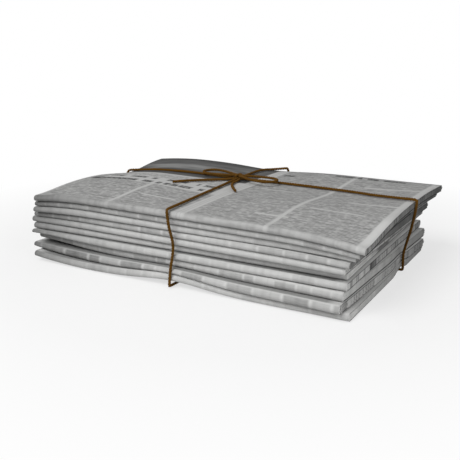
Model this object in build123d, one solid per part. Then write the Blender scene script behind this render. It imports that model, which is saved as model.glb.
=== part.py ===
from build123d import *

import os
from math import asin, atan2, cos, exp, hypot, pi, radians, sin, tan

# Ten folded broadsheet newspapers lie in a stack, folds to the front, tied crosswise with twine and a bow.
# Frame in mm: +X along the folds to the right, +Y from the folds to the open edges, +Z up.
# The origin is on the ground, in the middle of the stack's box.

# Page and fold
PAGE_WIDTH = 370.0          # a page, measured along its text lines
FOLDED_DEPTH = 250.0        # from the fold to the open edges
NOSE_DEPTH = 4.0            # how far the rounded fold reaches before the leaves run flat
CREEP = 3.5                 # how much further the inner pages reach at the open edges
LEAF_GAP = 0.4              # slit between the upper and the lower leaves
SLIT_STOP = 130.0           # the leaves lie parted from here on, measured from the fold's tip
PAPER_CLEARANCE = 0.3       # air between one newspaper and the next

# How each newspaper lies, from the bottom one up:
# thickness at the twine, slide to the right, slide to the back, turn in degrees, spread of its sheets
PAPERS = (
    (8.0, -3.0, -2.0, 0.8, 4.0),
    (6.5, -10.0, -2.0, -1.6, 4.5),
    (8.5, -8.0, 5.5, -1.2, 0.0),
    (8.0, -8.0, 2.0, 0.8, 4.5),
    (8.0, -9.0, 7.0, 1.4, 1.0),
    (8.0, -9.5, 2.0, -0.2, 4.0),
    (7.5, -4.5, 0.5, -0.3, 4.5),
    (8.0, 0.0, -1.0, 1.0, 5.0),
    (7.5, 4.0, -4.0, -0.2, 9.0),
    (7.5, 8.5, -8.0, -0.3, 12.0),
)

# The tied stack is low along the two turns of twine and full between them
CROSS_TURN_X = -8.0         # place of the turn that runs from front to back
LONG_TURN_Y = 30.0          # place of the turn that runs from end to end, at the middle
LONG_TURN_SLOPE = -0.065    # how that turn drifts to the front on its way to the right
TURN_REACH = 50.0           # how far from the twine the paper is held down

# Underside: arches under the twine, pads on the ground between them
UNDER_ARCH = 5.2            # height of the arches
CROSSING_ARCH = 4.0         # extra height where the two turns cross
CROSSING_REACH = 34.0
GROUND_PRESS = 0.7          # how much the pads are pressed flat by the ground
BOTTOM_REACH = 1.7          # newspapers above the lowest that still sag with it
FOLD_LIFT = 1.2             # the lowest fold rounds up this much in front of its pads
FOLD_LIFT_REACH = 16.0
LEFT_END_LIFT = 0.7         # share of the sag that is gone at the left end
RIGHT_END_LIFT = 0.2        # the same at the front of the right end
BACK_CORNER_LIFT = 0.95     # and at its back corner
LONG_ARCH_Y = 31.0          # middle of the arch over the long turn, which runs straight there

# Top: four cushions, drooping edges and a crowned right end
TOP_RISE = 4.0              # height of the cushions
FOLD_HOLD = 40.0            # distance from the fold at which they have risen
RISE_REACH = 3.0            # newspapers below the top that still follow its shape
END_LENGTH = 80.0           # length of the drooping ends
LEFT_DROOP = 5.5
LEFT_PINCH = 4.5            # extra droop where the twine goes round the left end
RIGHT_DROOP = 5.0           # droop of the front right corner
BACK_DROOP = 4.5
RIGHT_CROWN = 5.0
CROWN_REACH = 65.0
PINCH_REACH = 40.0

# The third newspaper from the ground curls up at its front left corner
CURLED = 2
CORNER_CURL = 4.0
CORNER_REACH = 60.0

# Twine
TWINE = 3.2
TWINE_SIDES = 5             # flats round its section
TWINE_GAP = 0.4             # air between the twine and what it lies against
RUN_SHARE = 0.45            # share of the shorter run that a bend may use
TIGHT_BEND = 4.0            # radius of the bends round the edges of the stack
TIGHT_TURN = 40.0           # bends sharper than this go round an edge
EDGE_OUT = 0.6              # a tight bend stands this much further out from its edge
SLANT_SLACK = 1.8           # the same where it passes a square end at a slant
CROSS_UNDER = 2.1           # height of the cross turn's axis under the stack
LONG_UNDER = 2.7            # the same for the long turn, and where it rides over the cross turn
LONG_OVER_CROSS = 6.4
CROSSING_RUN = 52.0         # length of the slope on either side of that crossing

# Where the two turns lie on the top sheet, as shares of half its width and half its depth
LEFT_WAY = ((-0.324, 0.28), (-0.497, 0.288), (-0.66, 0.288), (-0.827, 0.312))
RIGHT_WAY = ((0.854, 0.168), (0.708, 0.24), (0.562, 0.272), (0.324, 0.28), (0.151, 0.28))
FRONT_WAY = ((-0.062, -0.2), (-0.043, -0.64))
BACK_WAY = ((-0.038, 0.864), (-0.097, 0.76), (-0.097, 0.512))

# Where they turn over and under the edges: y at the two ends, x at the front and at the back
LEFT_EDGES = (44.0, 40.0)
RIGHT_TOP_Y = 6.0
FRONT_EDGES = (-4.5, -7.5)
BACK_EDGES = (7.0, -5.0)
UNDER_CROSSING_X = -6.0
UNDER_TURN_Y = 35.5

# Newspapers passed on the sides, counted from the ground, with the place and the slack there
LEFT_SIDE = ((7, 43.0, SLANT_SLACK), (5, 42.0, SLANT_SLACK), (4, 41.0, EDGE_OUT), (3, 40.0, SLANT_SLACK))
RIGHT_SIDE = ((1, 36.0, 0.0), (2, 36.0, SLANT_SLACK))
FRONT_SIDE = ((5, -4.5, 0.0), (3, -6.0, 0.0), (1, -7.5, 0.0))
BACK_SIDE = ((2, -2.0, 0.0), (4, 1.0, EDGE_OUT))

# Bow
KNOT_X = -15.5
KNOT_Y = 31.0
KNOT_RADIUS = 6.6
KNOT_SIDES = 12
KNOT_HEIGHT = 8.2
KNOT_ROUND = 1.2
KNOT_LIFT = 0.45            # air under the knot
WRAP_LIFT = 2.3             # height of the two turns' axes over the paper at the knot
ROOT = 5.2                  # the twine's ends start this far from the knot's axis, inside it
BOW_LIFT = 5.7              # height of the loops over the paper, where they lie on the long turn
LOOP_BELLY = 2.0            # how far each strand of a loop bulges out
LOOP_BENDS = 5
LEFT_LOOP = (-51.5, 35.5, 12.2)     # middle and radius of the round end
RIGHT_LOOP = (23.5, 25.0, 12.6)
LONG_TAIL = ((-29, 15), (-43, 1), (-55, -14), (-65, -33))
SHORT_TAIL = ((-6, 21), (-8, 7), (-3, -8), (6, -21), (15, -32))

# How finely the curved faces are drawn
END_MARGIN = 25.0           # the last common cross section, in from the page's nominal end
LEFT_STEPS = 3              # steps from there to the cross turn, on the left and on the right
RIGHT_STEPS = 4
SIDE_POINTS = 7             # points across each cross section
SLIT_POINTS = 4
FOLD_FLATS = 4              # flats that the pressed fold shows round its nose

HALF_LENGTH = PAGE_WIDTH / 2
HALF_DEPTH = FOLDED_DEPTH / 2
COUNT = len(PAPERS)
STATION_REACH = HALF_LENGTH - END_MARGIN
LEFT_STEP = (CROSS_TURN_X + STATION_REACH) / LEFT_STEPS
RIGHT_STEP = (STATION_REACH - CROSS_TURN_X) / RIGHT_STEPS
STATIONS = [i * LEFT_STEP - STATION_REACH for i in range(LEFT_STEPS)]
STATIONS += [CROSS_TURN_X + i * RIGHT_STEP for i in range(RIGHT_STEPS + 1)]


def near(distance, reach):
    """1 at the place itself, falling to 0 within about twice the reach."""
    return exp(-((distance / reach) ** 2))


def share(steps, reach, power):
    """How much of a swelling is left a number of newspapers further in."""
    return 1 / (1 + (steps / reach) ** power)


def end_share(x, side):
    """0 along the middle of the stack, 1 at its left (-1) or right (+1) end."""
    past = side * x - (HALF_LENGTH - END_LENGTH)
    return min(max(past / END_LENGTH, 0.0), 1.2) ** 2


def curl_share(x, y):
    """0 away from the front left corner, 1 at it."""
    return near(x + HALF_LENGTH, CORNER_REACH) * near(y + HALF_DEPTH, CORNER_REACH)


def joint_height(level, x, y):
    """Height of the face between two newspapers; level 0 is the underside of the stack."""
    rest = UNDER_ARCH + sum(paper[0] for paper in PAPERS[:level])
    long_y = LONG_TURN_Y + LONG_TURN_SLOPE * x
    off_turns = (1 - near(x - CROSS_TURN_X, TURN_REACH)) * (1 - near(y - long_y, TURN_REACH))
    left, right = end_share(x, -1), end_share(x, 1)
    front = min(max(0.5 - y / FOLDED_DEPTH, 0.0), 1.0)
    back = 1 - front

    low = share(level, BOTTOM_REACH, 4)
    off_under = (1 - near(x - CROSS_TURN_X, TURN_REACH)) * (1 - near(y - LONG_ARCH_Y, TURN_REACH))
    right_lift = right * (RIGHT_END_LIFT * front ** 2 + BACK_CORNER_LIFT * back ** 4)
    kept_sag = (1 - LEFT_END_LIFT * left) * (1 - right_lift)
    crossing = near(x - CROSS_TURN_X, CROSSING_REACH) * near(y - LONG_ARCH_Y, CROSSING_REACH)
    fold_lift = FOLD_LIFT * near(y + HALF_DEPTH, FOLD_LIFT_REACH)
    sag = (UNDER_ARCH + GROUND_PRESS) * off_under * kept_sag - CROSSING_ARCH * crossing - fold_lift

    high = share(COUNT - level, RISE_REACH, 3)
    off_fold = 1 - near(max(y + HALF_DEPTH, 0.0), FOLD_HOLD)
    rise = TOP_RISE * off_turns * off_fold + RIGHT_CROWN * right * near(y - long_y, CROWN_REACH)
    droop = left * (LEFT_DROOP + LEFT_PINCH * near(y - long_y, PINCH_REACH))
    droop += RIGHT_DROOP * right * front ** 2 + BACK_DROOP * back ** 2

    curl = CORNER_CURL * curl_share(x, y) * {CURLED: 1.0, CURLED + 1: 0.8}.get(level, 0.0)
    return rest - low * sag + high * (rise - droop) + curl


def corner_gap(level, x, y):
    """Air that opens under the corner that has curled up, and a little under its neighbour."""
    return CORNER_CURL * curl_share(x, y) * {CURLED - 1: 0.25, CURLED: 1.0}.get(level, 0.0)


def even_spline(points):
    """A spline whose points are evenly spaced in its parameter, so that neighbouring sections match."""
    return Edge.make_spline(points, parameters=[i / (len(points) - 1) for i in range(len(points))])


def newspaper(level):
    """One folded newspaper: leaves joined round the fold, parted by a slit, stepped at the open edges."""
    _, slide_x, slide_y, turn, spread = PAPERS[level]
    half_length = (PAGE_WIDTH + spread) / 2
    lean = tan(radians(turn))

    def fold_y(x):
        return slide_y - HALF_DEPTH + (x - slide_x) * lean

    def under(x, y):
        return joint_height(level, x, y) + PAPER_CLEARANCE / 2

    def over(x, y):
        return joint_height(level + 1, x, y) - PAPER_CLEARANCE / 2 - corner_gap(level + 1, x, y)

    def middle(x, y):
        return (under(x, y) + over(x, y)) / 2

    def section(along, skew):
        """The outline across the paper; a skewed one runs square to the turned fold, as the ends do."""
        def place(v):
            x = along - skew * v * lean
            return x, fold_y(along) + v

        def row(start, stop, count, height):
            step = (stop - start) / (count - 1)
            spots = [place(start + i * step) for i in range(count)]
            return [Vector(x, y, height(x, y)) for x, y in spots]

        leaf_end = FOLDED_DEPTH - CREEP
        top_points = row(NOSE_DEPTH, leaf_end, SIDE_POINTS, over)
        top = even_spline(top_points) if level == COUNT - 1 else Polyline(top_points)
        slit_top = Polyline(row(FOLDED_DEPTH, SLIT_STOP, SLIT_POINTS, lambda x, y: middle(x, y) + LEAF_GAP / 2))
        slit_bottom = Polyline(row(SLIT_STOP, FOLDED_DEPTH, SLIT_POINTS, lambda x, y: middle(x, y) - LEAF_GAP / 2))
        bottom_points = row(leaf_end, NOSE_DEPTH, SIDE_POINTS, under)
        bottom = Polyline(bottom_points)
        tip_x, tip_y = place(0)
        bow = ThreePointArc(bottom @ 1, Vector(tip_x, tip_y, ((bottom @ 1).Z + (top @ 0).Z) / 2), top @ 0)
        nose = Polyline([bow @ (i / FOLD_FLATS) for i in range(FOLD_FLATS + 1)])
        return Face(Wire([
            *top.edges(),
            Line(top @ 1, slit_top @ 0),
            *slit_top.edges(),
            Line(slit_top @ 1, slit_bottom @ 0),
            *slit_bottom.edges(),
            Line(slit_bottom @ 1, bottom @ 0),
            *bottom.edges(),
            *nose.edges(),
        ]))

    left_end = slide_x - half_length
    right_end = slide_x + half_length
    block = loft([section(left_end, 1), *(section(x, 0) for x in STATIONS), section(right_end, 1)], ruled=True)
    if level == 0:
        block -= Pos(0, 0, -TWINE) * Box(2 * PAGE_WIDTH, 2 * PAGE_WIDTH, 2 * TWINE)
    return block


def drawn_height(level, x, y):
    """Height of a face between newspapers as it is drawn, straight from one cross section to the next."""
    _, slide_x, _, _, spread = PAPERS[min(level, COUNT - 1)]
    half_length = (PAGE_WIDTH + spread) / 2
    stops = [slide_x - half_length, *STATIONS, slide_x + half_length]
    for start, stop in zip(stops, stops[1:]):
        if x < stop:
            break
    part = (x - start) / (stop - start)
    return (1 - part) * joint_height(level, start, y) + part * joint_height(level, stop, y)


TWINE_REACH = TWINE / 2 + TWINE_GAP


def on_top(x, y, lift=TWINE_REACH):
    """A point of the twine over the top newspaper."""
    return Vector(x, y, drawn_height(COUNT, x, y) + lift)


def on_sheet(share_x, share_y):
    """A point of the twine over the top newspaper, placed by shares of the sheet."""
    return on_top(share_x * HALF_LENGTH, share_y * HALF_DEPTH)


def beside(level, y, side, slack=0.0):
    """A point of the twine against the left (-1) or right (+1) end of a newspaper, or a little off it."""
    _, slide_x, slide_y, turn, spread = PAPERS[level]
    from_fold = y - slide_y + HALF_DEPTH
    x = slide_x + side * (PAGE_WIDTH + spread) / 2 - from_fold * tan(radians(turn))
    z = (joint_height(level, x, y) + joint_height(level + 1, x, y)) / 2
    return Vector(x + side * (TWINE_REACH + slack), y, z)


def across(level, x, side, slack=0.0):
    """A point of the twine before the fold (-1) or behind the open edges (+1), or a little off it."""
    _, slide_x, slide_y, turn, _ = PAPERS[level]
    y = slide_y + side * HALF_DEPTH + (x - slide_x) * tan(radians(turn))
    z = (joint_height(level, x, y) + joint_height(level + 1, x, y)) / 2
    return Vector(x, y + side * (TWINE_REACH + slack), z)


def over_edge(point, out_x, out_y):
    """The corner of the route where the twine turns over an edge of the top newspaper."""
    x = point.X + out_x * EDGE_OUT
    y = point.Y + out_y * EDGE_OUT
    return on_top(x, y, TWINE_REACH + EDGE_OUT)


def beneath(point, out_x, out_y, height):
    """The corner of the route where the twine turns under the stack."""
    return Vector(point.X + out_x * EDGE_OUT, point.Y + out_y * EDGE_OUT, height)


def from_knot(toward, lift):
    """The hidden end of a piece of twine, inside the knot, on its way to a point."""
    heading = atan2(toward.Y - KNOT_Y, toward.X - KNOT_X)
    return on_top(KNOT_X + ROOT * cos(heading), KNOT_Y + ROOT * sin(heading), lift)


def long_turn():
    """From the knot over the left end, under the stack, up the right end and back to the knot."""
    top, under_top = COUNT - 1, COUNT - 2
    left = [on_sheet(*spot) for spot in LEFT_WAY]
    right = [on_sheet(*spot) for spot in RIGHT_WAY]
    left_top = beside(top, LEFT_EDGES[0], -1)
    left_bottom = beside(1, LEFT_EDGES[1], -1, EDGE_OUT)
    right_top = beside(top, RIGHT_TOP_Y, 1)
    right_side = [beside(level, place, 1, slack) for level, place, slack in RIGHT_SIDE]
    right_fall = beside(under_top, RIGHT_TOP_Y + 1, 1)
    return [
        from_knot(left[0], WRAP_LIFT),
        *left,
        over_edge(left_top, -1, 0),
        *[beside(level, place, -1, slack) for level, place, slack in LEFT_SIDE],
        left_bottom,
        beneath(left_bottom, -1, 0, LONG_UNDER),
        Vector(UNDER_CROSSING_X - CROSSING_RUN, UNDER_TURN_Y, LONG_UNDER),
        Vector(UNDER_CROSSING_X, UNDER_TURN_Y, LONG_OVER_CROSS),
        Vector(UNDER_CROSSING_X + CROSSING_RUN, UNDER_TURN_Y, LONG_UNDER),
        beneath(right_side[0], 1, 0, LONG_UNDER),
        *right_side,
        Vector(right_top.X + EDGE_OUT, right_fall.Y, right_fall.Z),
        over_edge(right_top, 1, 0),
        *right,
        from_knot(right[-1], WRAP_LIFT),
    ]


def cross_turn():
    """From the knot over the folds, under the stack, up the open edges and back to the knot."""
    top, under_top = COUNT - 1, COUNT - 2
    front = [on_sheet(*spot) for spot in FRONT_WAY]
    back = [on_sheet(*spot) for spot in BACK_WAY]
    front_top = across(top, FRONT_EDGES[0], -1)
    front_fall = across(under_top, FRONT_EDGES[0], -1)
    front_bottom = across(0, FRONT_EDGES[1], -1)
    back_top = across(top, BACK_EDGES[0], 1)
    back_bottom = across(0, BACK_EDGES[1], 1)
    return [
        from_knot(front[0], WRAP_LIFT),
        *front,
        over_edge(front_top, 0, -1),
        Vector(front_top.X, front_top.Y - EDGE_OUT, front_fall.Z),
        *[across(level, place, -1, slack) for level, place, slack in FRONT_SIDE],
        beneath(front_bottom, 0, -1, CROSS_UNDER),
        beneath(back_bottom, 0, 1, CROSS_UNDER),
        *[across(level, place, 1, slack) for level, place, slack in BACK_SIDE],
        over_edge(back_top, 0, 1),
        *back,
        from_knot(back[-1], WRAP_LIFT),
    ]


def loop_route(middle_x, middle_y, radius):
    """A loop of the bow: two strands from the knot, bulging a little, joined by a round end."""
    distance = hypot(middle_x - KNOT_X, middle_y - KNOT_Y)
    heading = atan2(middle_y - KNOT_Y, middle_x - KNOT_X)
    strand_angle = asin(radius / distance)
    half_round = pi / 2 + strand_angle
    step = 2 * half_round / LOOP_BENDS
    spots = []
    for i in range(LOOP_BENDS):
        angle = heading + half_round - (i + 0.5) * step
        out = radius / cos(step / 2)
        spots.append(on_top(middle_x + out * cos(angle), middle_y + out * sin(angle), BOW_LIFT))
    strands = []
    for spot, side in ((spots[0], 1), (spots[-1], -1)):
        angle = atan2(spot.Y - KNOT_Y, spot.X - KNOT_X) + side * pi / 2
        x = (KNOT_X + spot.X) / 2 + LOOP_BELLY * cos(angle)
        y = (KNOT_Y + spot.Y) / 2 + LOOP_BELLY * sin(angle)
        strands.append(on_top(x, y, BOW_LIFT))
    first, last = strands
    return [from_knot(first, BOW_LIFT), first, *spots, last, from_knot(last, BOW_LIFT)]


def tail_route(spots):
    """A free end of the bow, lying on the paper."""
    points = [on_top(x, y) for x, y in spots]
    return [from_knot(points[0], WRAP_LIFT), *points]


def twine(name, points):
    """A length of twine: straight runs joined by bends as large as the runs allow, tight round edges."""
    radii = []
    for before, here, after in zip(points, points[1:], points[2:]):
        turn = (here - before).get_angle(after - here)
        shorter = min((here - before).length, (after - here).length)
        radius = RUN_SHARE * shorter / tan(radians(turn / 2))
        radii.append(min(radius, TIGHT_BEND) if turn > TIGHT_TURN and name in TIGHT else radius)
    route = FilletPolyline(*points, radius=radii)
    section = Plane(origin=route @ 0, z_dir=route % 0) * RegularPolygon(TWINE / 2, TWINE_SIDES)
    cord = sweep(section, route)
    print(name, "radii", [round(radius, 1) for radius in radii], "length", round(route.length, 1),
          "volume share", round(cord.volume / (route.length * section.area), 4))
    return cord - knot


knot_base = drawn_height(COUNT, KNOT_X, KNOT_Y) + KNOT_LIFT
knot = Pos(KNOT_X, KNOT_Y, knot_base) * extrude(RegularPolygon(KNOT_RADIUS, KNOT_SIDES), KNOT_HEIGHT)
knot = chamfer(knot.edges().group_by(Axis.Z)[-1], KNOT_ROUND)

TIGHT = ("twine_long_wrap", "twine_cross_wrap")
ROUTES = {
    "twine_long_wrap": long_turn(),
    "twine_cross_wrap": cross_turn(),
    "bow_left_loop": loop_route(*LEFT_LOOP),
    "bow_right_loop": loop_route(*RIGHT_LOOP),
    "twine_long_tail": tail_route(LONG_TAIL),
    "twine_short_tail": tail_route(SHORT_TAIL),
}

os.makedirs("parts", exist_ok=True)
for level in range(COUNT):
    export_step(newspaper(level), f"parts/newspaper_{COUNT - level:02d}.step")
export_step(knot, "parts/twine_knot.step")
for name, points in ROUTES.items():
    export_step(twine(name, points), f"parts/{name}.step")
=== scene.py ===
import math
import random

import bpy
import numpy as np
from mathutils import Matrix, Vector


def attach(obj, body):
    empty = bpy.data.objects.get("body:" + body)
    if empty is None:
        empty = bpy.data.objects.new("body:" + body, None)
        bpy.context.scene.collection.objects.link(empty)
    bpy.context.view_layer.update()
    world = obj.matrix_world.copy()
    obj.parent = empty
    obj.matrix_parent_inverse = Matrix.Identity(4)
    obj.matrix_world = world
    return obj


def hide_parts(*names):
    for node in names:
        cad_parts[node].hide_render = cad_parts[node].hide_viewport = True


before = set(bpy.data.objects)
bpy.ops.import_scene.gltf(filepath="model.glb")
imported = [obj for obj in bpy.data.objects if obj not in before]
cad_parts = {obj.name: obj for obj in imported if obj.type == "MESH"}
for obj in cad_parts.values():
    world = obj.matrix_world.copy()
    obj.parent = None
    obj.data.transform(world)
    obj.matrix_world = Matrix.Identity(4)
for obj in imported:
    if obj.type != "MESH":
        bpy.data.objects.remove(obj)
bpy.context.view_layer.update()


# The nine lower newspapers of the stack. Each is a nest of soft newsprint sheets, folded over one another
# at the front, where the twine presses the folds round, and cut on the other three sides.
# They lie loose on one another, held by the twine and their weight, and so take one shape between them.

PAGE_WIDTH = 0.370
FOLDED_DEPTH = 0.250
HALF_LENGTH = PAGE_WIDTH / 2
HALF_DEPTH = FOLDED_DEPTH / 2
NOSE_DEPTH = 0.004
CLEARANCE = 0.0003

# from the lowest up: thickness at the twine, slide right, slide back, turn in degrees, spread of the sheets
PAPERS = (
    (0.0080, -0.0030, -0.0020, 0.8, 0.0040),
    (0.0065, -0.0100, -0.0020, -1.6, 0.0045),
    (0.0085, -0.0080, 0.0055, -1.2, 0.0000),
    (0.0080, -0.0080, 0.0020, 0.8, 0.0045),
    (0.0080, -0.0090, 0.0070, 1.4, 0.0010),
    (0.0080, -0.0095, 0.0020, -0.2, 0.0040),
    (0.0075, -0.0045, 0.0005, -0.3, 0.0045),
    (0.0080, 0.0000, -0.0010, 1.0, 0.0050),
    (0.0075, 0.0040, -0.0040, -0.2, 0.0090),
    (0.0075, 0.0085, -0.0080, -0.3, 0.0120),
)
COUNT = len(PAPERS)

# where the twine holds the stack down, above and below, and how far from it the paper still lies low
CROSS_TURN_X = -0.008
LONG_TURN_Y = 0.030
LONG_TURN_SLOPE = -0.065
LONG_TURN_UNDER_Y = 0.031
TURN_REACH = 0.050

# the underside passes over the twine, sags to the ground beside it, and is pushed up where the turns cross
UNDERSIDE = 0.0052
SAG = 0.0059
SAG_LEVELS = 1.7
ARCH = 0.004
ARCH_REACH = 0.034
FOLD_LIFT = 0.0012
FOLD_LIFT_REACH = 0.016

# both ends hold up against the sag, but past here the right end has settled close beside the twine
LEFT_HELD_UP = 0.7
RIGHT_FRONT_HELD_UP = 0.2
RIGHT_BACK_HELD_UP = 0.95
SETTLED_FROM = 0.110
SETTLED_RUN = 0.060
SETTLED_SHIFT = 0.005
SETTLED_CLOSER = 0.034

# the top swells between the turns, rises under the twine at the right end, and droops at both ends
# and at the back
END_RUN = 0.080
TOP_LEVELS = 3
SWELL = 0.004
SWELL_FROM_FOLD = 0.040
RIGHT_RISE = 0.005
RIGHT_RISE_REACH = 0.065
LEFT_DROOP = 0.0055
LEFT_TWINE_DROOP = 0.0045
LEFT_TWINE_REACH = 0.040
RIGHT_DROOP = 0.005
BACK_DROOP = 0.0045

# the front left corner has curled up between some of the lower newspapers
CURL = 0.004
CURL_REACH = 0.060
CURLED_JOINTS = {2: 1.0, 3: 0.8}
CURL_GAPS = {0: 0.25, 1: 1.0}


def near(distance, reach):
    return np.exp(-((distance / reach) ** 2))


def end_share(x, side):
    """How far a place lies towards the left (-1) or right (1) end of the stack."""
    return np.clip((side * x - (HALF_LENGTH - END_RUN)) / END_RUN, 0.0, 1.2) ** 2


def curl_share(x, y):
    return near(x + HALF_LENGTH, CURL_REACH) * near(y + HALF_DEPTH, CURL_REACH)


def joint_height(level, x, y):
    """Height of the face between two newspapers; level 0 is the underside of the stack."""
    rest = UNDERSIDE + sum(paper[0] for paper in PAPERS[:level])
    from_cross = x - CROSS_TURN_X
    from_long = y - (LONG_TURN_Y + LONG_TURN_SLOPE * x)
    from_under = y - LONG_TURN_UNDER_Y
    left = end_share(x, -1)
    right = end_share(x, 1)
    front = np.clip(0.5 - y / FOLDED_DEPTH, 0.0, 1.0)
    back = 1 - front

    # the lower faces
    low = 1 / (1 + (level / SAG_LEVELS) ** 4)
    settled = np.clip((x - SETTLED_FROM) / SETTLED_RUN, 0.0, 1.0)
    under_reach = TURN_REACH - SETTLED_CLOSER * settled
    off_under = 1 - near(from_under - SETTLED_SHIFT * settled, under_reach)
    off_under = (1 - near(from_cross, TURN_REACH)) * off_under
    right_held_up = right * (RIGHT_FRONT_HELD_UP * front ** 2 + RIGHT_BACK_HELD_UP * back ** 4)
    sagging = off_under * (1 - LEFT_HELD_UP * left) * (1 - (1 - settled) * right_held_up)
    crossing = near(from_cross, ARCH_REACH) * near(from_under, ARCH_REACH)
    sag = SAG * sagging - ARCH * crossing - FOLD_LIFT * near(y + HALF_DEPTH, FOLD_LIFT_REACH)

    # the upper faces
    high = 1 / (1 + ((COUNT - level) / TOP_LEVELS) ** 3)
    off_turns = (1 - near(from_cross, TURN_REACH)) * (1 - near(from_long, TURN_REACH))
    off_fold = 1 - near(np.maximum(y + HALF_DEPTH, 0.0), SWELL_FROM_FOLD)
    rise = SWELL * off_turns * off_fold + RIGHT_RISE * right * near(from_long, RIGHT_RISE_REACH)
    left_droop = left * (LEFT_DROOP + LEFT_TWINE_DROOP * near(from_long, LEFT_TWINE_REACH))
    droop = left_droop + RIGHT_DROOP * right * front ** 2 + BACK_DROOP * back ** 2

    curl = CURL * curl_share(x, y) * CURLED_JOINTS.get(level, 0.0)
    return np.maximum(rest - low * sag + high * (rise - droop) + curl, 0.0)


# the leaves' number and thickness, how short the outer one falls at the open edge because it goes round
# all the others, and how much of the newspaper's thickness the nest fills
LEAVES = 9
LEAF = 0.00030
THINNEST_FOLD = 0.00006
OUTER_SHORT = 0.0035
NEST_FILL = 0.93

# how unevenly the leaves were cut and lie, and how they close up towards their cut ends
OUTER_SET_BACK = 0.0002
UNEVEN_END = 0.0004
UNEVEN_SHIFT = 0.0005
UNEVEN_ABOVE = 0.0005
UNEVEN_BELOW = 0.0004
CLOSE_UP = 0.05
CLOSE_UP_REACH = 0.003


def slip(rng, outer, low, high):
    """How far a loose inner leaf has slipped; the outer leaf lies true."""
    return 0.0 if outer else rng.uniform(low, high)


def leaf_mesh(level, order, rng):
    """One leaf: a thin sheet from the open edges below, round the fold, to the open edges above."""
    thickness, slide_x, slide_y, turn, spread = PAPERS[level]
    outer = order == 0
    inset = order / LEAVES
    set_back = OUTER_SET_BACK * (1 - inset) ** 2 if level < COUNT - 1 else 0.0
    half = (PAGE_WIDTH + spread) / 2 - slip(rng, outer, 0.0, UNEVEN_END) - set_back
    shift = slip(rng, outer, -UNEVEN_SHIFT, UNEVEN_SHIFT)
    reach_up = FOLDED_DEPTH - OUTER_SHORT + OUTER_SHORT * inset ** 0.8 - slip(rng, outer, 0.0, UNEVEN_ABOVE)
    reach_down = reach_up - slip(rng, outer, 0.0, UNEVEN_BELOW)
    steps_along = 72 if outer else 36
    steps_run = 40 if outer else 18
    steps_nose = 12 if outer else 8

    # the leaf's line across the fold: v from the fold's tip, h from -1 (underside) to +1 (upper side)
    tip = NOSE_DEPTH * inset
    run = 1 - (1 - np.linspace(0, 1, steps_run)) ** 1.15
    below_v = reach_down + (NOSE_DEPTH - reach_down) * run
    above_v = reach_up + (NOSE_DEPTH - reach_up) * run[::-1]
    bend = np.linspace(-math.pi / 2, math.pi / 2, steps_nose + 1)[1:-1]
    nose_v = NOSE_DEPTH - (NOSE_DEPTH - tip) * np.cos(bend)
    line_v = np.concatenate([below_v, nose_v, above_v])
    line_h = np.concatenate([-np.ones(steps_run), np.sin(bend), np.ones(steps_run)])

    # that line, all along the fold, laid where the newspaper lies in the stack
    theta = math.radians(turn)
    local_x, local_v = np.meshgrid(np.linspace(-half, half, steps_along) + shift, line_v, indexing="ij")
    height = np.broadcast_to(line_h, local_x.shape)
    x = slide_x + local_x * math.cos(theta) - local_v * math.sin(theta)
    y = slide_y - HALF_DEPTH + local_x * math.sin(theta) + local_v * math.cos(theta)
    under = joint_height(level, x, y) + CLEARANCE / 2
    over = joint_height(level + 1, x, y) - CLEARANCE / 2
    over = over - CURL * curl_share(x, y) * CURL_GAPS.get(level, 0.0)
    middle = (under + over) / 2
    from_end = np.minimum(half - np.abs(local_x - shift), reach_up - local_v)
    closed = 1 - CLOSE_UP * np.exp(-np.clip(from_end, 0, None) / CLOSE_UP_REACH)
    reach = (over - under) / 2 * closed * (1 - NEST_FILL * inset)
    outside = middle + height * reach
    inside = middle + height * np.maximum(reach - LEAF, THINNEST_FOLD)
    inner_v = np.where(np.abs(height) < 1, LEAF * np.sqrt(1 - height ** 2), 0.0)
    inner_x = x - inner_v * math.sin(theta)
    inner_y = y + inner_v * math.cos(theta)

    # the outer side, the inner side facing the other way, and the cut edge that joins them
    rows, cols = x.shape
    outer_points = np.stack([x, y, outside], -1).reshape(-1, 3)
    inner_points = np.stack([inner_x, inner_y, inside], -1).reshape(-1, 3)
    index = np.arange(rows * cols).reshape(rows, cols)
    corners = [index[:-1, :-1], index[1:, :-1], index[1:, 1:], index[:-1, 1:]]
    outer_faces = np.stack(corners, -1).reshape(-1, 4)
    inner_faces = outer_faces[:, ::-1] + rows * cols
    rim = np.concatenate([index[:, 0], index[-1, 1:], index[-2::-1, -1], index[0, -2:0:-1]])
    following = np.roll(rim, -1)
    rim_faces = np.stack([following, rim, rim + rows * cols, following + rows * cols], -1)

    # where each point lies on the printed page, in metres: along the fold, and from the upper open edge
    steps = np.hypot(np.diff(line_v), np.diff(line_h) * thickness / 2)
    lengths = np.concatenate([[0], np.cumsum(steps)])
    page_v = np.broadcast_to(lengths[-1] - lengths, x.shape)
    uv = np.stack([local_x + half, page_v], -1).reshape(-1, 2)
    across = (height * (1 - inset)).reshape(-1)
    points = np.concatenate([outer_points, inner_points])
    faces = np.concatenate([outer_faces, inner_faces, rim_faces])
    return points, faces, np.concatenate([uv, uv]), np.concatenate([across, across]), len(outer_faces)


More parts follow.
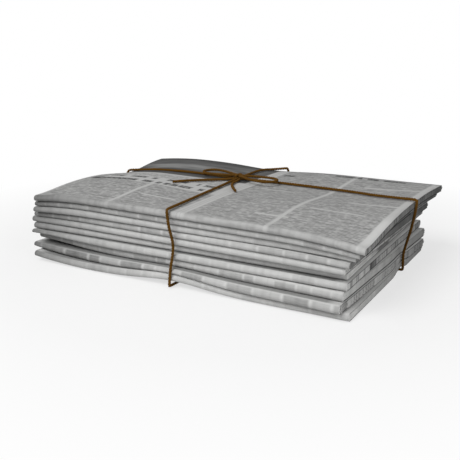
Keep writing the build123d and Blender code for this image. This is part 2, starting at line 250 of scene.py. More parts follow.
class Field:
    """A value in a node tree that can be added, multiplied and compared like a number."""

    tree = None

    def __init__(self, socket):
        self.socket = socket

    @classmethod
    def node(cls, kind, output=0, settings=None, **inputs):
        """Any node: its settings, then its sockets by name, with _ for a space, or by place as in0, in1."""
        node = cls.tree.nodes.new(kind)
        for name, value in (settings or {}).items():
            setattr(node, name, value)
        for name, value in inputs.items():
            by_place = name.startswith("in") and name[2:].isdigit()
            cls.feed(node.inputs[int(name[2:]) if by_place else name.replace("_", " ")], value)
        return cls(node.outputs[output])

    @classmethod
    def feed(cls, socket, value):
        if isinstance(value, Field):
            cls.tree.links.new(value.socket, socket)
        else:
            socket.default_value = value

    def also(self, output):
        """Another output of the node that gives this value."""
        return Field(self.socket.node.outputs[output])

    def math(self, operation, other=0.0):
        return Field.node("ShaderNodeMath", settings={"operation": operation}, in0=self, in1=other)

    def __add__(self, other):
        return self.math("ADD", other)

    def __radd__(self, other):
        return self.math("ADD", other)

    def __mul__(self, other):
        return self.math("MULTIPLY", other)

    def __rmul__(self, other):
        return self.math("MULTIPLY", other)

    def __sub__(self, other):
        return self.math("SUBTRACT", other)

    def __rsub__(self, other):
        return Field.node("ShaderNodeMath", settings={"operation": "SUBTRACT"}, in0=other, in1=self)

    def __truediv__(self, other):
        return self.math("DIVIDE", other)

    def above(self, edge, soft=0.0004):
        """0 below the edge, 1 above it, over a soft step."""
        return Field.node("ShaderNodeMapRange", Value=self, From_Min=edge - soft, From_Max=edge + soft)

    def between(self, low, high, soft=0.0004):
        return self.above(low, soft) * (1.0 - self.above(high, soft))


def together(fields):
    """Several places as one."""
    whole, *others = fields
    for other in others:
        whole = whole + other
    return whole


def material(name):
    """A new material and its principled shader; Field draws in its tree from here on."""
    made = bpy.data.materials.new(name)
    made.use_nodes = True
    Field.tree = made.node_tree
    return made, made.node_tree.nodes["Principled BSDF"]


# newsprint is grey, a touch warm and mottled; its page is a little smoother than its cut edges
NEWSPRINT_BLUE = 0.985
MOTTLE = 0.12
PAGE_TONE = 0.54
PAGE_ROUGHNESS = 0.85
PAGE_SPECULAR = 0.25
EDGE_TONE = 0.64
EDGE_ROUGHNESS = 0.9
EDGE_SPECULAR = 0.2


def set_paper(shader, tone, roughness, specular):
    colour = Field.node("ShaderNodeCombineColor", Red=tone, Green=tone, Blue=tone * NEWSPRINT_BLUE)
    Field.feed(shader.inputs["Base Color"], colour)
    shader.inputs["Roughness"].default_value = roughness
    shader.inputs["Specular IOR Level"].default_value = specular


def page_place(seed):
    """u runs along the fold from the left edge, v from the open edge of the upper leaf round the fold."""
    coordinates = Field.node("ShaderNodeUVMap", settings={"uv_map": "print"})
    u = Field.node("ShaderNodeSeparateXYZ", output="X", Vector=coordinates)
    v = u.also("Y")

    def noise(along, across, scale, detail, offset=0.0):
        place = Field.node("ShaderNodeCombineXYZ", X=u * along, Y=v * across, Z=seed + offset)
        return Field.node("ShaderNodeTexNoise", Vector=place, Scale=scale, Detail=detail)

    return u, v, noise


# where the fold's tip lies on the page, and what lies beside it: painted shade in the creases where two
# newspapers press together, painted shade over the fold's round, and painted shade at the left end
FOLD_V = 0.2488
CREASE_ABOVE = 0.0056
CREASE_BELOW = 0.0054
CREASE_FROM_EDGE = 0.010
FOLD_FROM, FOLD_TO = -0.0062, 0.0200
FOLD_PAINTED_SHADE = 12.0
LEFT_END_SHADE_REACH = 0.165
LEFT_END_PAINTED_SHADE = 0.42
LEFT_TIP_PAINTED_SHADE = 0.20


def inked_paper(shader, u, v, noise, ink, width, paper_tone, shade_above, shade_below):
    """Paper with its ink, and painted shade in the creases, over the fold and at its left end."""
    past = v - FOLD_V
    # painted shade in the creases above and below the fold, where two newspapers press together
    crease_shade = (0.0 - past).above(CREASE_ABOVE, soft=0.0007) * shade_above
    crease_shade = crease_shade + past.above(CREASE_BELOW, soft=0.0009) * shade_below
    crease_shade = crease_shade * u.between(CREASE_FROM_EDGE, width - CREASE_FROM_EDGE, soft=0.005)
    crease_shade = crease_shade * v.above(CREASE_FROM_EDGE, soft=0.005)
    on_fold = past.between(FOLD_FROM, FOLD_TO, soft=0.0015)
    # painted shade, darker towards the left end of the fold and darkest at its tip
    left_end_shade = (1.0 - (u / LEFT_END_SHADE_REACH).math("MINIMUM", 1.0)) * on_fold
    left_tip_shade = left_end_shade * left_end_shade * left_end_shade * left_end_shade
    shade = (1.0 - crease_shade) * (1.0 - LEFT_END_PAINTED_SHADE * left_end_shade - LEFT_TIP_PAINTED_SHADE * left_tip_shade)
    # painted shade over the fold's round: lighter above its tip and darker below it
    shade = shade * (1.0 - on_fold * past * FOLD_PAINTED_SHADE)
    mottle = noise(along=1.0, across=1.0, scale=90.0, detail=4.0)
    tone = paper_tone * (1.0 - MOTTLE / 2 + MOTTLE * mottle) * (1.0 - ink) * shade
    set_paper(shader, tone, PAGE_ROUGHNESS, PAGE_SPECULAR)


# the print on the folds: how dark it is on each newspaper, numbered from the top one down, where it starts
# and stops beside the fold's tip, how many columns there are, and the painted shade of creases and pleats
FOLD_INK = {2: 0.34, 3: 0.10, 4: 0.34, 5: 0.07, 6: 0.10, 7: 0.18, 8: 0.36, 9: 0.55, 10: 0.16}
PRINT_FROM = -0.0042
PRINT_TO = 0.0030
COLUMNS_PER_METRE = 36.0
GUTTER = 0.060
CREASE_PAINTED_SHADE = 0.50
PLEATS_PER_METRE = 150.0
PLEAT_PAINTED_SHADE = 0.38
PLEAT_EDGE = 0.44
DARKEST_FOLD = 0.8


def lower_print(index):
    """What shows of a lower newspaper is its fold, with grey columns, pale gutters and faint pleats of
    painted shade.
    """
    made, shader = material(f"newsprint_{index:02d}")
    u, v, noise = page_place(seed=11.0 + 7.0 * index)

    # columns of uneven width, each with its own grey, and a little different on each newspaper
    run = u + 0.9 * index
    scale = COLUMNS_PER_METRE + 6.0 * (index % 3)
    print_from = PRINT_FROM + 0.0005 * (index % 3)
    print_to = PRINT_TO + 0.0007 * (index % 2)
    whole = {"voronoi_dimensions": "1D", "feature": "F1"}
    edges = {"voronoi_dimensions": "1D", "feature": "DISTANCE_TO_EDGE"}
    tint = Field.node("ShaderNodeTexVoronoi", output="Color", settings=whole, W=run, Scale=scale)
    column_grey = Field.node("ShaderNodeSeparateColor", Color=tint)
    to_edge = Field.node("ShaderNodeTexVoronoi", output="Distance", settings=edges, W=run, Scale=scale)
    in_column = to_edge.above(GUTTER, soft=0.045) * (v - FOLD_V).between(print_from, print_to, soft=0.0009)

    rows = noise(along=0.35, across=6.0, scale=260.0, detail=1.0, offset=2.0).above(0.50, soft=0.10)
    pleats = noise(along=1.0, across=0.02, scale=PLEATS_PER_METRE, detail=2.0, offset=5.0)
    ink = in_column * FOLD_INK[index] * (0.25 + 0.75 * column_grey) * (0.78 + 0.44 * rows * pleats)
    # grey streaks of painted shade, where small pleats would shade the fold
    ink = ink + PLEAT_PAINTED_SHADE * (pleats - PLEAT_EDGE).math("MAXIMUM", 0.0)
    ink = ink.math("MINIMUM", DARKEST_FOLD)
    width = PAGE_WIDTH + PAPERS[COUNT - index][4]
    inked_paper(shader, u, v, noise, ink, width, PAGE_TONE, CREASE_PAINTED_SHADE, CREASE_PAINTED_SHADE)
    return made


# dark patches where pictures run off the cut ends: the newspaper's level, front and back edge, softness
END_PATCHES = ((3, -0.0555, -0.036, 0.0005), (4, -0.024, 0.018, 0.0060))
PATCH_GREY = 0.60

# the marks on the cut edges: print lines, plain where a newspaper was cut across its columns, wide soft
# bands, and painted shade at the joint between two newspapers
LINES_PER_METRE = 380.0
LINE_GREY = 0.04
PLAIN_LINE_GREY = 0.40
BANDS_PER_METRE = 70.0
BAND_SHARE = 0.56
JOINT_FROM = 0.86
JOINT_PAINTED_SHADE = 0.85

# the right end's painted shade: where it starts, the levels that it darkens and how much, how much less
# the top one gets, and how the painted shade deepens to the back
RIGHT_END_FROM = 0.140
SHADED_FROM_LEVEL = 5.5
RIGHT_END_PAINTED_SHADE = 0.38
TOP_LEVEL = 8.5
TOP_END_LIGHTER = 0.06
EDGE_LIFT = 1.14
RIGHT_BACK_PAINTED_SHADE = 0.64


def leaf_paper():
    """The leaves' cut edges: print that runs off the sheets leaves upright lines and some dark patches."""
    made, shader = material("newsprint_leaves")
    place = Field.node("ShaderNodeTexCoord", output="Object")
    x = Field.node("ShaderNodeSeparateXYZ", output="X", Vector=place)
    y = x.also("Y")
    across = Field.node("ShaderNodeAttribute", output="Fac", settings={"attribute_name": "across"})
    paper = Field.node("ShaderNodeAttribute", output="Fac", settings={"attribute_name": "paper"})

    def along_edge(scale, detail, offset):
        spot = Field.node("ShaderNodeCombineXYZ", X=x * 0.35, Y=y, Z=paper * 3.7 + offset)
        return Field.node("ShaderNodeTexNoise", Vector=spot, Scale=scale, Detail=detail)

    # every other newspaper was cut across its columns
    lined = (paper * 0.5 - (paper * 0.5).math("FLOOR")).above(0.25, soft=0.01)
    lines = along_edge(scale=LINES_PER_METRE, detail=0.0, offset=0.0).above(0.56, soft=0.04)
    bands = along_edge(scale=BANDS_PER_METRE, detail=1.0, offset=20.0)
    patches = together(
        y.between(front, back, soft) * paper.between(level - 0.5, level + 0.5, soft=0.1)
        for level, front, back, soft in END_PATCHES)
    marks = (1.0 - lines * (LINE_GREY + PLAIN_LINE_GREY * lined)) * (1.0 - PATCH_GREY * patches)

    # painted shade: the upper newspapers darken at their right end, under the jutting top one, most at the
    # back
    joint = across.math("ABSOLUTE").above(JOINT_FROM, soft=0.08)
    to_back = ((y + HALF_DEPTH) / FOLDED_DEPTH).math("MAXIMUM", 0.0)
    right_end = x.above(RIGHT_END_FROM, soft=0.030)
    top = paper.above(TOP_LEVEL, soft=0.1)
    end_shade = RIGHT_END_PAINTED_SHADE * paper.above(SHADED_FROM_LEVEL, soft=0.1) - TOP_END_LIGHTER * top
    shade = (EDGE_TONE - right_end * end_shade) * (EDGE_LIFT - RIGHT_BACK_PAINTED_SHADE * to_back * right_end)
    # the darkening at each joint is painted shade along the gap between two newspapers
    tone = shade * (1.0 - BAND_SHARE / 2 + BAND_SHARE * bands) * marks * (1.0 - JOINT_PAINTED_SHADE * joint)
    set_paper(shader, tone, EDGE_ROUGHNESS, EDGE_SPECULAR)
    return made


leaves_material = leaf_paper()


def set_out(name, data):
    """A mesh, line, lamp or camera, set out in the scene."""
    holder = bpy.data.objects.new(name, data)
    bpy.context.scene.collection.objects.link(holder)
    return holder


def lay_newspaper(level, cover):
    """One newspaper of the stack: its outer page carries the cover, its other leaves are plain."""
    number = COUNT - level
    rng = random.Random(20 + level)
    leaves = []
    base = 0
    for order in range(LEAVES):
        points, faces, uvs, across, printed = leaf_mesh(level, order, rng)
        slots = np.ones(len(faces), np.int32)
        if order == 0:
            slots[:printed] = 0
        leaves.append((points, faces + base, uvs, across, slots))
        base += len(points)
    points, faces, uvs, across, slots = (np.concatenate(parts) for parts in zip(*leaves))

    mesh = bpy.data.meshes.new(f"newspaper_{number:02d}_leaves")
    mesh.from_pydata(points.tolist(), [], faces.tolist())
    corners = np.empty(len(mesh.loops), int)
    mesh.loops.foreach_get("vertex_index", corners)
    mesh.uv_layers.new(name="print").data.foreach_set("uv", uvs[corners].astype(np.float32).ravel())
    for name, values in (("across", across), ("paper", np.full(base, level))):
        mesh.attributes.new(name, "FLOAT", "POINT").data.foreach_set("value", values.astype(np.float32))
    mesh.shade_smooth()
    mesh.materials.append(cover)
    mesh.materials.append(leaves_material)
    mesh.polygons.foreach_set("material_index", slots)

    newspaper = set_out(mesh.name, mesh)
    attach(newspaper, "root")
    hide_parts(f"newspaper_{number:02d}")


for level in range(COUNT - 1):
    lay_newspaper(level, lower_print(COUNT - level))


# The top newspaper, folded like the others, with its front page up: a blurred dark picture, a caption,
# two headline rows and columns of small print. The print is only blocks and broken rows of ink.

FRONT_WIDTH = 0.382
FRONT_DEPTH = 0.2465
PRINT_ROW = 0.0031
FRONT_TONE = 0.47
# how much darker the top newspaper's nose is painted, as painted shade
FRONT_NOSE_PAINTED_SHADE = 0.02
PALE_CORNER_LIGHTER = 0.13

# what is on the page: left, right, back and front edge, in shares of the page from its back left corner
PICTURE = (-0.2, 0.475, -0.2, 0.385)
PICTURE_LIGHT = (0.03, 0.46, 0.10, 0.26)
CAPTION = (0.02, 0.45, 0.40, 0.50)
FIRST_HEAD = (0.06, 0.45, 0.514, 0.551)
SECOND_HEAD = (0.03, 0.45, 0.592, 0.632)
COLUMN_HEAD = (0.66, 0.90, 0.03, 0.055)
COLUMN_MARK = (0.525, 0.56, 0.112, 0.136)
PALE_CORNER = (0.975, 1.2, 0.70, 0.98)
RULES = ((0.488, 0.4905, -0.1, 1.3), (0.4985, 0.501, -0.1, 1.3))
COLUMNS = (
    (0.01, 0.255, 0.66, 1.3),
    (0.267, 0.476, 0.66, 1.3),
    (0.01, 0.06, 0.45, 0.66),
    (0.512, 0.739, -0.1, 1.3),
    (0.751, 0.977, -0.1, 1.3),
)
COLUMN_BREAKS = (
    (0.67, 0.765, 0.852, 0.866),
    (0.84, 0.98, 0.523, 0.538),
    (0.81, 0.98, 0.205, 0.22),
    (0.78, 0.93, 0.70, 0.712),
    (0.55, 0.66, 0.44, 0.452),
    (0.30, 0.41, 0.82, 0.832),
)

# the block under the picture was set a little askew, about this place
ASKEW = 0.05
ASKEW_ABOUT = 0.164

# how dark each kind of print is, the picture's light and dark streaks, what the fold takes from it, and the
# painted shade of its pleats
PICTURE_INK = 0.77
LIGHT_STREAK = 0.42
DARK_STREAK = 0.10
CAPTION_INK = 0.55
HEAD_INK = 0.85
COLUMN_INK = 0.15
SMALL_PRINT_INK = 0.32
PRINT_BAND_INK = 0.85
RULE_INK = 0.22
MARK_INK = 0.6
DARKEST_PAGE = 0.86
PRINT_STOP = 0.0055
NOSE_FADE = 0.35
NOSE_PLEAT_PAINTED_SHADE = 0.62


def top_print():
    made, shader = material("newsprint_top")
    u, v, noise = page_place(seed=3.0)
    askew = v + (u - ASKEW_ABOUT) * ASKEW

    def area(edges, soft=0.0008, over=v):
        left, right, back, front = edges
        inside = u.between(left * FRONT_WIDTH, right * FRONT_WIDTH, soft)
        return inside * over.between(back * FRONT_DEPTH, front * FRONT_DEPTH, soft)

    def words(scale, offset):
        return noise(along=1.0, across=0.02, scale=scale, detail=0.0, offset=offset).above(0.42, soft=0.015)

    # rows of broken dashes, which end before the fold
    row = v / PRINT_ROW
    row_number = row.math("FLOOR")
    in_row = (row - row_number).between(0.22, 0.72, soft=0.10)
    dash_place = Field.node("ShaderNodeCombineXYZ", X=u * 0.55, Y=row_number, Z=3.0)
    dashes = Field.node("ShaderNodeTexNoise", Vector=dash_place, Scale=260.0, Detail=1.0)
    small_print = in_row * dashes.above(0.46, soft=0.05) * (1.0 - v.above(FOLD_V - PRINT_STOP, soft=0.003))

    light = noise(along=1.0, across=4.5, scale=9.0, detail=3.0, offset=4.0).above(0.52, soft=0.13)
    light = light * area(PICTURE_LIGHT, soft=0.014)
    dark = noise(along=1.0, across=5.0, scale=14.0, detail=2.0, offset=6.0).above(0.50, soft=0.14)
    ink = area(PICTURE, soft=0.0015) * (PICTURE_INK - LIGHT_STREAK * light + DARK_STREAK * dark)

    letters = noise(along=1.0, across=0.5, scale=520.0, detail=1.0, offset=7.0).above(0.46, soft=0.08)
    letters = 0.50 + 0.50 * letters
    first_words = words(scale=110.0, offset=15.0) * letters
    second_words = words(scale=100.0, offset=8.0) * letters
    heads = area(FIRST_HEAD, soft=0.0006, over=askew) * first_words
    heads = heads + area(SECOND_HEAD, soft=0.0006, over=askew) * second_words
    ink = ink + area(CAPTION, over=askew) * small_print * CAPTION_INK + heads * HEAD_INK

    columns = together(area(edges) for edges in COLUMNS)
    columns = columns * (1.0 - together(area(edges) for edges in COLUMN_BREAKS))
    bands = (noise(along=1.0, across=4.5, scale=55.0, detail=2.0, offset=2.0) - 0.42).math("MAXIMUM", 0.0)
    ink = ink + columns * (COLUMN_INK + SMALL_PRINT_INK * small_print + PRINT_BAND_INK * bands)

    marks = area(COLUMN_MARK, soft=0.002) + area(COLUMN_HEAD) * second_words
    ink = ink + together(area(edges, soft=0.0004) for edges in RULES) * RULE_INK + marks * MARK_INK

    # the print thins out over the fold, where the paper is pleated; the pleats are grey streaks of painted
    # shade
    on_nose = v.above(FOLD_V - 0.008, soft=0.005)
    pleats = noise(along=1.0, across=0.02, scale=PLEATS_PER_METRE, detail=2.0, offset=9.0)
    pleats = (pleats - PLEAT_EDGE).math("MAXIMUM", 0.0)
    ink = ink.math("MINIMUM", DARKEST_PAGE) * (1.0 - NOSE_FADE * on_nose)
    ink = ink + on_nose * NOSE_PLEAT_PAINTED_SHADE * pleats
    # the nose of the fold is painted a little darker, as painted shade
    tone = FRONT_TONE - FRONT_NOSE_PAINTED_SHADE * on_nose + PALE_CORNER_LIGHTER * area(PALE_CORNER, soft=0.012)
    inked_paper(shader, u, v, noise, ink, FRONT_WIDTH, tone, 0.0, CREASE_PAINTED_SHADE)
    return made


lay_newspaper(COUNT - 1, top_print())


# The long turn of the brown jute twine, pulled tight round both ends of the stack. The twine is 3.2 mm
# thick, three strands laid together. The turn runs under the stack and starts and stops inside the knot.

TWINE = 0.0032
STRANDS = 3
STRAND_RADIUS = 0.00078
STRAND_SIDES = 8
LAY_LENGTH = 0.0095
LINE_STEP = 0.0008
JUTE_DARK = (0.036, 0.016, 0.0012, 1)
JUTE_PALE = (0.185, 0.084, 0.007, 1)
JUTE_ROUGHNESS = 0.9
JUTE_SPECULAR = 0.2


def mix(factor, first, second):
    settings = {"data_type": "RGBA"}
    return Field.node("ShaderNodeMix", output=2, settings=settings, Factor=factor, in6=first, in7=second)


twine_material, twine_shader = material("jute_twine")
twine_place = Field.node("ShaderNodeTexCoord", output="Object")
fibres = Field.node("ShaderNodeTexNoise", Vector=twine_place, Scale=900.0, Detail=3.0)
stains = Field.node("ShaderNodeTexNoise", Vector=twine_place, Scale=120.0, Detail=2.0)
Field.feed(twine_shader.inputs["Base Color"], mix(fibres * 0.6 + stains * 0.4, JUTE_DARK, JUTE_PALE))
twine_shader.inputs["Roughness"].default_value = JUTE_ROUGHNESS
twine_shader.inputs["Specular IOR Level"].default_value = JUTE_SPECULAR

lay = bpy.data.node_groups.new("laid_strands", "GeometryNodeTree")
lay.interface.new_socket("Geometry", in_out="INPUT", socket_type="NodeSocketGeometry")
sizes = {}
for label, kind in (("Strands", "NodeSocketInt"), ("Strand radius", "NodeSocketFloat"),
                    ("Offset", "NodeSocketFloat"), ("Lay length", "NodeSocketFloat")):
    sizes[label] = lay.interface.new_socket(label, in_out="INPUT", socket_type=kind).identifier
lay.interface.new_socket("Geometry", in_out="OUTPUT", socket_type="NodeSocketGeometry")

# copies of the line, each turned round it by its share of a turn, and given a round section
Field.tree = lay
given = {socket.name: Field(socket) for socket in lay.nodes.new("NodeGroupInput").outputs if socket.name}
line = Field.node("GeometryNodeMeshToCurve", Mesh=given["Geometry"])
line = Field.node("GeometryNodeResampleCurve", settings={"mode": "LENGTH"}, Curve=line, Length=LINE_STEP)
copies = Field.node("GeometryNodeDuplicateElements", settings={"domain": "SPLINE"},
                    Geometry=line, Amount=given["Strands"])
along = Field.node("GeometryNodeSplineParameter", output="Length")
share = copies.also("Duplicate Index") / given["Strands"]
angle = (along / given["Lay length"] + share) * (2 * math.pi)
normal = Field.node("GeometryNodeInputNormal")
tangent = Field.node("GeometryNodeInputTangent")
scaled = {"operation": "SCALE"}
side = Field.node("ShaderNodeVectorMath", settings={"operation": "CROSS_PRODUCT"}, in0=tangent, in1=normal)
up = Field.node("ShaderNodeVectorMath", settings=scaled, in0=normal, Scale=angle.math("COSINE"))
out = Field.node("ShaderNodeVectorMath", settings=scaled, in0=side, Scale=angle.math("SINE"))
way = Field.node("ShaderNodeVectorMath", settings={"operation": "ADD"}, in0=up, in1=out)
way = Field.node("ShaderNodeVectorMath", settings=scaled, in0=way, Scale=given["Offset"])
strands = Field.node("GeometryNodeSetPosition", Geometry=copies, Offset=way)
ring = Field.node("GeometryNodeCurvePrimitiveCircle", Radius=given["Strand radius"], Resolution=STRAND_SIDES)
tubes = Field.node("GeometryNodeCurveToMesh", Curve=strands, Profile_Curve=ring, Fill_Caps=True)
tubes = Field.node("GeometryNodeRealizeInstances", Geometry=tubes)
tubes = Field.node("GeometryNodeSetMaterial", Geometry=tubes, Material=twine_material)
Field.feed(lay.nodes.new("NodeGroupOutput").inputs["Geometry"], tubes)


def finished_mesh(holder):
    """The plain mesh of a line or of laid strands; what held it is taken away."""
    bpy.context.view_layer.update()
    mesh = bpy.data.meshes.new_from_object(holder.evaluated_get(bpy.context.evaluated_depsgraph_get()))
    bpy.data.objects.remove(holder)
    return mesh


def smooth_line(name, points, closed=False):
    """Points along the NURBS line whose control points are given as (x, y, z) or (x, y, z, weight)."""
    curve = bpy.data.curves.new(name, "CURVE")
    curve.dimensions = "3D"
    curve.resolution_u = 16
    spline = curve.splines.new("NURBS")
    spline.points.add(len(points) - 1)
    for point, place in zip(spline.points, points):
        weight = place[3] if len(place) > 3 else 1.0
        point.co = (*place[:3], weight)
    spline.order_u = 3
    spline.use_cyclic_u = closed
    spline.use_endpoint_u = not closed
    return finished_mesh(set_out(name, curve))


def laid_twine(name, lines):
    """Twine laid along one or more lines, as one piece."""
    parts = []
    for mesh in lines:
        holder = set_out(name + "_line", mesh)
        modifier = holder.modifiers.new("strands", "NODES")
        modifier.node_group = lay
        modifier[sizes["Strands"]] = STRANDS
        modifier[sizes["Strand radius"]] = STRAND_RADIUS
        modifier[sizes["Offset"]] = TWINE / 2 - STRAND_RADIUS
        modifier[sizes["Lay length"]] = LAY_LENGTH
        parts.append(finished_mesh(holder))
    piece = set_out(name, parts[0])
    others = [set_out(name + "_part", part) for part in parts[1:]]
    if others:
        with bpy.context.temp_override(active_object=piece, selected_editable_objects=[piece, *others]):
            bpy.ops.object.join()
    piece.data.shade_smooth()
    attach(piece, "root")
    return piece


# from the knot over the left end, along the underside and up the right end; a high weight keeps the line
# close to an edge of the stack
long_turn = laid_twine("twine_long_turn", [smooth_line("long_line", [
    (-0.0207, 0.0315, 0.0832), (-0.0599, 0.0350, 0.0829), (-0.0919, 0.0360, 0.0828),
    (-0.1221, 0.0360, 0.0816), (-0.1530, 0.0390, 0.0787), (-0.1842, 0.0440, 0.0735, 5),
    (-0.1942, 0.0430, 0.0552), (-0.1997, 0.0420, 0.0447), (-0.2010, 0.0410, 0.0380),
    (-0.2013, 0.0400, 0.0308), (-0.1952, 0.0400, 0.0158), (-0.1958, 0.0400, 0.0027, 15),
    (-0.0580, 0.0355, 0.0027), (-0.0060, 0.0355, 0.0064), (0.0460, 0.0355, 0.0027),
    (0.1844, 0.0360, 0.0027, 15), (0.1838, 0.0360, 0.0165), (0.1841, 0.0360, 0.0241),
    (0.2028, 0.0070, 0.0745), (0.2028, 0.0060, 0.0897, 6), (0.1580, 0.0210, 0.0850),
    (0.1310, 0.0300, 0.0838), (0.1040, 0.0340, 0.0831), (0.0599, 0.0350, 0.0830),
    (0.0279, 0.0350, 0.0829), (-0.0103, 0.0315, 0.0832)])])
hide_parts("twine_long_wrap")


# The cross turn of the same twine, pulled tight over the folds at the front and the open edges at the back.
# It runs down the folds in the hollow that it presses, and passes under the long turn below the stack.

cross_turn = laid_twine("twine_cross_turn", [smooth_line("cross_line", [
    (-0.0151, 0.0258, 0.0834), (-0.0115, -0.0250, 0.0841), (-0.0080, -0.0800, 0.0846),
    (-0.0045, -0.1355, 0.0853, 6), (-0.0045, -0.1355, 0.0715), (-0.0045, -0.1250, 0.0482),
    (-0.0060, -0.1250, 0.0323), (-0.0075, -0.1291, 0.0172), (-0.0075, -0.1297, 0.0021, 20),
    (-0.0050, 0.1256, 0.0021, 20), (-0.0020, 0.1324, 0.0237), (0.0010, 0.1348, 0.0396),
    (0.0070, 0.1196, 0.0817, 4), (-0.0070, 0.1080, 0.0808), (-0.0179, 0.0950, 0.0816),
    (-0.0179, 0.0640, 0.0823), (-0.0159, 0.0362, 0.0831)])])
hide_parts("twine_cross_wrap")


# The knot, tied in the same twine where the two turns meet. The turns pass through it, the ends of the
# bow's loops cross above them, and one small turn binds them all.

knot = laid_twine("twine_knot_turns", [
    smooth_line("knot_long", [
        (-0.0207, 0.0315, 0.0832), (-0.0155, 0.0305, 0.0836), (-0.0103, 0.0315, 0.0832)]),
    smooth_line("knot_cross", [
        (-0.0151, 0.0258, 0.0834), (-0.0157, 0.0310, 0.0842), (-0.0159, 0.0362, 0.0831)]),
    smooth_line("knot_over", [
        (-0.0204, 0.0294, 0.0867), (-0.0155, 0.0311, 0.0872), (-0.0105, 0.0324, 0.0866)]),
    smooth_line("knot_over_2", [
        (-0.0199, 0.0338, 0.0866), (-0.0155, 0.0311, 0.0860), (-0.0111, 0.0282, 0.0867)]),
    smooth_line("knot_band", [
        (-0.0175, 0.0270, 0.0838), (-0.0172, 0.0268, 0.0876), (-0.0138, 0.0350, 0.0879),
        (-0.0136, 0.0352, 0.0838)], closed=True),
])
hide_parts("twine_knot")


# The two loops of the bow, made of the same twine and limp. They start and stop inside the knot, which
# alone holds them, and lie on the long turn and the page.

def free_twine(name, node, points):
    """A free length of twine, which stands for one node of the solid part."""
    line = smooth_line(name + "_line", points)
    piece = laid_twine(name, [line])
    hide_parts(node)


free_twine("left_loop", "bow_left_loop", [
    (-0.0204, 0.0294, 0.0867), (-0.0341, 0.0248, 0.0868), (-0.0536, 0.0225, 0.0869),
    (-0.0620, 0.0276, 0.0868), (-0.0646, 0.0371, 0.0865), (-0.0598, 0.0457, 0.0864),
    (-0.0504, 0.0486, 0.0864), (-0.0320, 0.0416, 0.0864), (-0.0199, 0.0338, 0.0866)])
free_twine("right_loop", "bow_right_loop", [
    (-0.0105, 0.0324, 0.0866), (0.0050, 0.0366, 0.0865), (0.0263, 0.0383, 0.0866),
    (0.0347, 0.0327, 0.0866), (0.0369, 0.0229, 0.0868), (0.0318, 0.0143, 0.0871),
    (0.0222, 0.0115, 0.0872), (0.0024, 0.0195, 0.0869), (-0.0111, 0.0282, 0.0867)])


# The two cut ends of the twine, which leave the knot on the front side. They are limp, nothing holds
# their far ends, and they lie on the page.

free_twine("long_tail", "twine_long_tail", [
    (-0.0189, 0.0270, 0.0834), (-0.0290, 0.0150, 0.0834), (-0.0430, 0.0010, 0.0842),
    (-0.0550, -0.0140, 0.0852), (-0.0650, -0.0330, 0.0864)])
free_twine("short_tail", "twine_short_tail", [
    (-0.0119, 0.0272, 0.0833), (-0.0101, 0.0200, 0.0832), (-0.0098, 0.0060, 0.0835),
    (-0.0030, -0.0075, 0.0838), (0.0060, -0.0205, 0.0843), (0.0150, -0.0320, 0.0849)])


# The stage: a plain pale floor that fades to white away from the object, and soft light from the front
# and from the right. Only the camera sees the white; it adds no light to the object.

FLOOR_HALF = 3.0
FLOOR_GREY = 0.80
FLOOR_ROUGHNESS = 0.9
SHADOW_REACH = 0.26
WHITE_REACH = 0.50
WHITE_AT_OBJECT = 0.66
SKY_GREY = 0.36


def grey(value):
    return (value, value, value, 1.0)


floor_mesh = bpy.data.meshes.new("floor")
floor_mesh.from_pydata([
    (-FLOOR_HALF, -FLOOR_HALF, 0), (FLOOR_HALF, -FLOOR_HALF, 0),
    (FLOOR_HALF, FLOOR_HALF, 0), (-FLOOR_HALF, FLOOR_HALF, 0)], [], [(0, 1, 2, 3)])
floor = set_out("floor", floor_mesh)
floor_material, floor_shader = material("floor")
floor_shader.inputs["Base Color"].default_value = grey(FLOOR_GREY)
floor_shader.inputs["Roughness"].default_value = FLOOR_ROUGHNESS
white = Field.node("ShaderNodeEmission", Color=grey(1.0), Strength=1.0)
spot = Field.node("ShaderNodeTexCoord", output="Object")
away = Field.node("ShaderNodeVectorMath", output="Value", settings={"operation": "LENGTH"}, in0=spot)
whiteness = Field.node("ShaderNodeMapRange", Value=away, From_Min=SHADOW_REACH, From_Max=WHITE_REACH,
                       To_Min=WHITE_AT_OBJECT, To_Max=1.0)
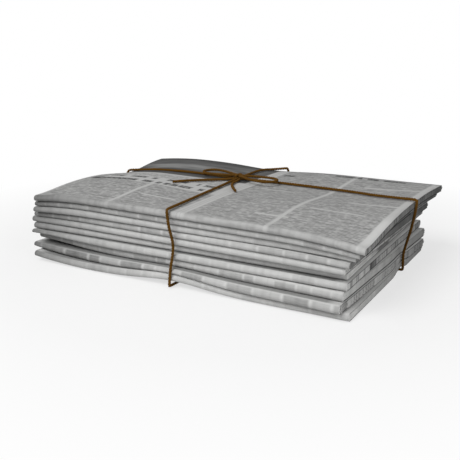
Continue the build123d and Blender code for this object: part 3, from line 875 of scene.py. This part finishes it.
seen = Field.node("ShaderNodeLightPath", output="Is Camera Ray")
lit_floor = Field(floor_shader.outputs["BSDF"])
faded_floor = Field.node("ShaderNodeMixShader", in0=seen * whiteness, in1=lit_floor, in2=white)
Field.feed(floor_material.node_tree.nodes["Material Output"].inputs["Surface"], faded_floor)
floor_mesh.materials.append(floor_material)

# each lamp's name, power, size and place
for name, power, size, place in (
        ("key", 43.0, 1.3, (-0.30, -1.60, 1.90)),
        ("fill", 10.0, 1.3, (2.20, -0.60, 1.05))):
    light = bpy.data.lights.new(name, "AREA")
    light.energy = power
    light.size = size
    lamp = set_out(name, light)
    lamp.location = place
    lamp.rotation_euler = Vector(place).to_track_quat("Z", "Y").to_euler()

world = bpy.data.worlds.new("studio")
bpy.context.scene.world = world
world.use_nodes = True
Field.tree = world.node_tree
background = world.node_tree.nodes["Background"]
seen = Field.node("ShaderNodeLightPath", output="Is Camera Ray")
Field.feed(background.inputs["Color"], mix(seen, grey(SKY_GREY), grey(1.0)))
background.inputs["Strength"].default_value = 1.0


# The camera, a little above the stack and to the right of its front. Its place, its direction and its
# lens were fitted to the folds, the corners and the twine.

EYE = (0.4058, -0.7378, 0.2772)
AZIMUTH = math.radians(29.38)
ELEVATION = math.radians(16.34)
LENS = 59.92
SENSOR = 36
FARTHEST = 20

backward = Vector((
    math.sin(AZIMUTH) * math.cos(ELEVATION),
    -math.cos(AZIMUTH) * math.cos(ELEVATION),
    math.sin(ELEVATION)))
rightward = Vector((math.cos(AZIMUTH), math.sin(AZIMUTH), 0))
upward = backward.cross(rightward)
camera = bpy.data.cameras.new("camera")
camera.sensor_width = SENSOR
camera.lens = LENS
camera.clip_end = FARTHEST
viewer = set_out("camera", camera)
viewer.matrix_world = Matrix((
    (rightward.x, upward.x, backward.x, EYE[0]),
    (rightward.y, upward.y, backward.y, EYE[1]),
    (rightward.z, upward.z, backward.z, EYE[2]),
    (0, 0, 0, 1)))
bpy.context.scene.camera = viewer
bpy.context.scene.view_settings.view_transform = "Standard"
